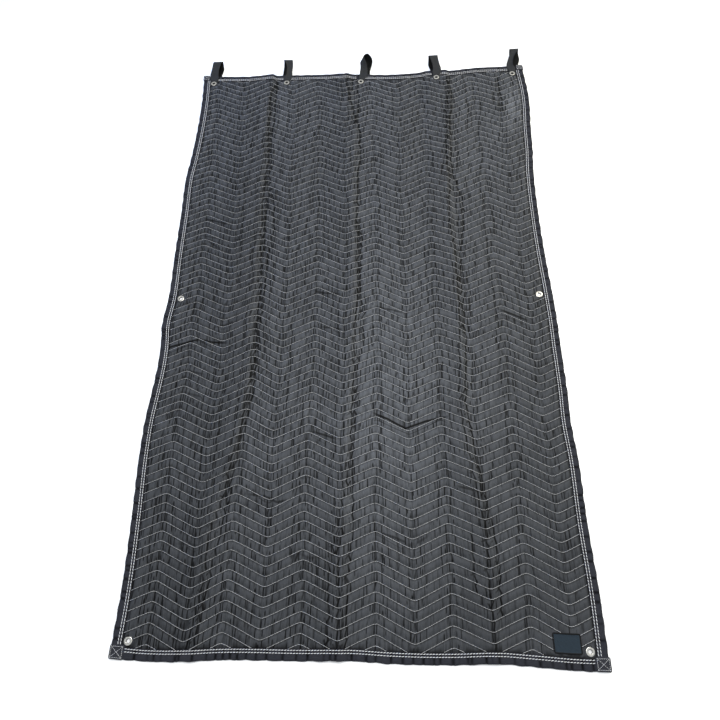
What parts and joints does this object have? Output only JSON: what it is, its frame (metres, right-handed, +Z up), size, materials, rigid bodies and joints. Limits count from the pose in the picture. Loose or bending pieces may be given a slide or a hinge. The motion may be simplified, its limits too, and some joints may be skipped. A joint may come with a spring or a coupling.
{
  "type": "sound dampening blanket",
  "caption": "Rectangular quilted sound dampening blanket with zigzag stitching, bound edges, corner patches, metal eyelets and webbing hanging loops along its head edge.",
  "frame": {"origin": "on the floor under the middle of the blanket as it lies", "axes": "+X across the blanket to the label's side, +Y from the foot edge to the head edge with the loops, +Z up from the floor"},
  "size_m": [1.25, 2.0988, 0.0559],
  "materials": {
    "quilted_cloth": "charcoal woven cover cloth over padding, matt with a faint sheen",
    "binding_tape": "dark charcoal woven tape, matt",
    "webbing": "dark grey ribbed webbing, slightly glossy",
    "eyelet_metal": "bright nickel plating",
    "label_cloth": "slate woven cloth with a black overlocked border, bare"
  },
  "bodies": {
    "root": {"quilted_field": "quilted_cloth", "band_left": "quilted_cloth", "band_right": "quilted_cloth", "band_head": "quilted_cloth", "binding_foot": "binding_tape", "binding_head": "binding_tape", "binding_left": "binding_tape", "binding_right": "binding_tape", "corner_foot_left": "binding_tape", "corner_foot_right": "binding_tape", "corner_head_left": "binding_tape", "corner_head_right": "binding_tape", "eyelet_side_left": "eyelet_metal", "eyelet_side_right": "eyelet_metal", "eyelet_foot_left": "eyelet_metal", "eyelet_foot_right": "eyelet_metal", "eyelet_head_1": "eyelet_metal", "eyelet_head_2": "eyelet_metal", "eyelet_head_3": "eyelet_metal", "eyelet_head_4": "eyelet_metal", "eyelet_head_5": "eyelet_metal", "loop_1": "webbing", "loop_2": "webbing", "loop_3": "webbing", "loop_4": "webbing", "loop_5": "webbing", "label": "label_cloth"}
  },
  "joints": []
}
